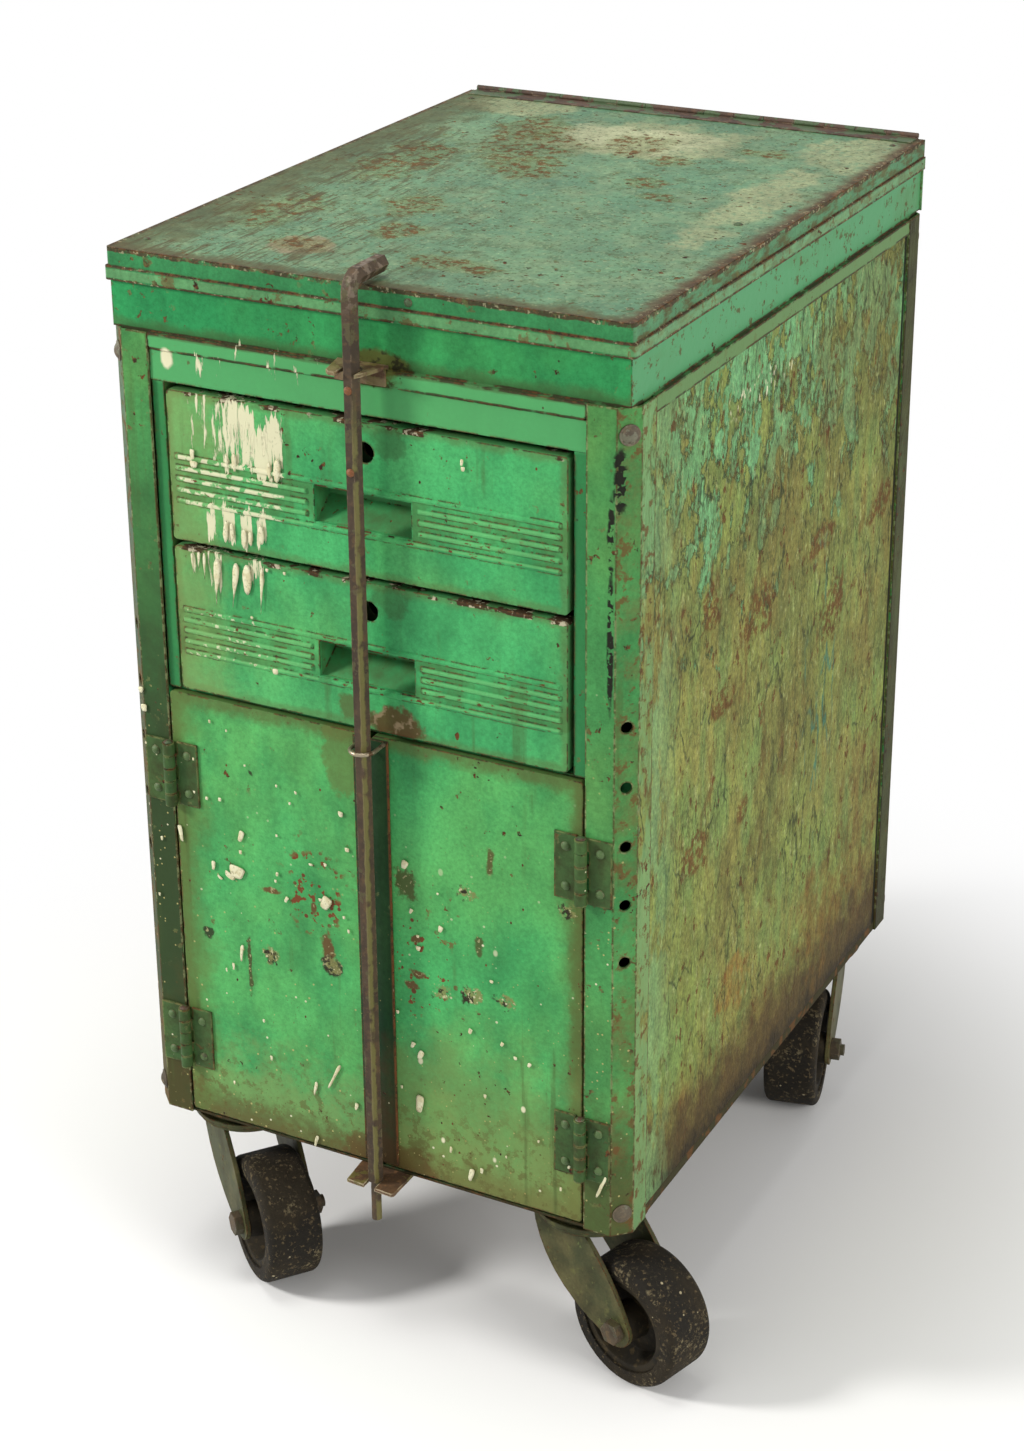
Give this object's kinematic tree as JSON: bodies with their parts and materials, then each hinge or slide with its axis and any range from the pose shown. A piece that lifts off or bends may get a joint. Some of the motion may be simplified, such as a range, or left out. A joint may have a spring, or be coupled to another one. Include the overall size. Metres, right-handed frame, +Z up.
{
  "type": "rolling tool cabinet",
  "caption": "Rolling steel tool cabinet with a lift-up lid over a till, ribbed drawers with finger pulls, a pair of doors, a lift-out lock bar and swivel casters.",
  "frame": {"origin": "centre of the bounding box at floor level, with the casters turned as in the picture", "axes": "+Z up, -Y out of the front with the drawers and doors, +X to the right as seen from the front"},
  "size_m": [0.5138, 0.6365, 0.95],
  "materials": {
    "front_paint": "worn green enamel with chips down to rust",
    "side_paint": "crackled olive green enamel over rust",
    "band_paint": "worn mint green enamel",
    "lid_paint": "faded grey green enamel",
    "inner_paint": "dull dark green enamel",
    "caster_paint": "oily dark olive paint",
    "rusty_bar": "dark rusted steel with green paint left in the corners",
    "rusty_hardware": "rusted steel",
    "bolt_steel": "oily dark steel",
    "bright_wire": "worn bare wire",
    "wheel_core": "oily dark green iron",
    "tyre_rubber": "worn black rubber with grit"
  },
  "bodies": {
    "cabinet": {"post_front_left": "front_paint", "post_front_right": "front_paint", "post_rear_left": "front_paint", "post_rear_right": "front_paint", "post_bolts": "rusty_hardware", "side_panel_left": "side_paint", "side_panel_right": "side_paint", "back_panel": "side_paint", "bottom_pan": "inner_paint", "till_band": "band_paint", "till_floor": "band_paint", "rear_strip": "band_paint", "front_rail": "front_paint", "cross_rail": "front_paint", "drawer_stiles": "front_paint", "drawer_runners": "inner_paint", "guide_plate_top": "rusty_bar", "guide_plate_bottom": "rusty_bar", "post_hinge_leaves": "front_paint", "post_hinge_rivets": "front_paint", "door_hinge_pins": "rusty_hardware", "lid_hinge_fixed": "lid_paint", "lid_hinge_pin": "rusty_hardware", "caster_plates": "caster_paint", "caster_bolts": "bolt_steel"},
    "lid": {"lid_shell": "lid_paint", "lid_hinge_leaf": "lid_paint", "lid_screws": "rusty_hardware"},
    "lock_bar": {"lock_bar": "rusty_bar", "lock_bar_rivets": "rusty_hardware"},
    "door_left": {"door_left_panel": "front_paint", "door_left_strip": "front_paint", "door_left_loop": "bright_wire", "door_left_leaves": "front_paint", "door_left_rivets": "front_paint"},
    "door_right": {"door_right_panel": "front_paint", "door_right_leaves": "front_paint", "door_right_rivets": "front_paint"},
    "drawer_upper": {"drawer_upper_front": "front_paint", "drawer_upper_tray": "inner_paint"},
    "drawer_lower": {"drawer_lower_front": "front_paint", "drawer_lower_tray": "inner_paint"},
    "caster_front_left": {"fork_front_left": "caster_paint", "axle_front_left": "bolt_steel"},
    "wheel_front_left": {"wheel_front_left": "wheel_core", "tyre_front_left": "tyre_rubber"},
    "caster_front_right": {"fork_front_right": "caster_paint", "axle_front_right": "bolt_steel"},
    "wheel_front_right": {"wheel_front_right": "wheel_core", "tyre_front_right": "tyre_rubber"},
    "caster_rear_right": {"fork_rear_right": "caster_paint", "axle_rear_right": "bolt_steel"},
    "wheel_rear_right": {"wheel_rear_right": "wheel_core", "tyre_rear_right": "tyre_rubber"},
    "caster_rear_left": {"fork_rear_left": "caster_paint", "axle_rear_left": "bolt_steel"},
    "wheel_rear_left": {"wheel_rear_left": "wheel_core", "tyre_rear_left": "tyre_rubber"}
  },
  "joints": [
    {"name": "lid_hinge", "type": "hinge", "parent": "cabinet", "child": "lid", "pos_m": [-0.02792, 0.31523, 0.937], "axis": [-1, 0, 0], "range_deg": [0, 100]},
    {"name": "door_left_hinge", "type": "hinge", "parent": "cabinet", "child": "door_left", "pos_m": [-0.21742, -0.29427, 0.3635], "axis": [0, 0, -1], "range_deg": [0, 165]},
    {"name": "door_right_hinge", "type": "hinge", "parent": "cabinet", "child": "door_right", "pos_m": [0.16158, -0.29427, 0.3635], "axis": [0, 0, 1], "range_deg": [0, 165]},
    {"name": "lock_bar_lift", "type": "slide", "parent": "door_left", "child": "lock_bar", "axis": [0, 0, 1], "range_m": [0, 1.05]},
    {"name": "drawer_upper_slide", "type": "slide", "parent": "cabinet", "child": "drawer_upper", "axis": [0, -1, 0], "range_m": [0, 0.35]},
    {"name": "drawer_lower_slide", "type": "slide", "parent": "cabinet", "child": "drawer_lower", "axis": [0, -1, 0], "range_m": [0, 0.35]},
    {"name": "swivel_front_left", "type": "hinge", "parent": "cabinet", "child": "caster_front_left", "pos_m": [-0.19792, -0.23027, 0.1465], "axis": [0, 0, 1], "continuous": true},
    {"name": "spin_front_left", "type": "hinge", "parent": "caster_front_left", "child": "wheel_front_left", "pos_m": [-0.153, -0.26536, 0.057], "axis": [0.6157, 0.788, 0], "continuous": true},
    {"name": "swivel_front_right", "type": "hinge", "parent": "cabinet", "child": "caster_front_right", "pos_m": [0.14208, -0.23027, 0.1465], "axis": [0, 0, 1], "continuous": true},
    {"name": "spin_front_right", "type": "hinge", "parent": "caster_front_right", "child": "wheel_front_right", "pos_m": [0.19659, -0.24693, 0.057], "axis": [0.2924, 0.9563, 0], "continuous": true},
    {"name": "swivel_rear_right", "type": "hinge", "parent": "cabinet", "child": "caster_rear_right", "pos_m": [0.14208, 0.25873, 0.1465], "axis": [0, 0, 1], "continuous": true},
    {"name": "spin_rear_right", "type": "hinge", "parent": "caster_rear_right", "child": "wheel_rear_right", "pos_m": [0.1549, 0.20319, 0.057], "axis": [0.9744, 0.225, 0], "continuous": true},
    {"name": "swivel_rear_left", "type": "hinge", "parent": "cabinet", "child": "caster_rear_left", "pos_m": [-0.19792, 0.25873, 0.1465], "axis": [0, 0, 1], "continuous": true},
    {"name": "spin_rear_left", "type": "hinge", "parent": "caster_rear_left", "child": "wheel_rear_left", "pos_m": [-0.17116, 0.2084, 0.057], "axis": [0.8829, 0.4695, 0], "continuous": true}
  ],
  "couplings": [
    {"joint": "lock_bar_lift", "follows": "lid_hinge", "m_per_rad": 0.6},
    {"joint": "door_right_hinge", "follows": "door_left_hinge", "ratio": 1},
    {"joint": "drawer_upper_slide", "follows": "door_left_hinge", "m_per_rad": 0.12},
    {"joint": "drawer_lower_slide", "follows": "door_left_hinge", "m_per_rad": 0.12}
  ]
}
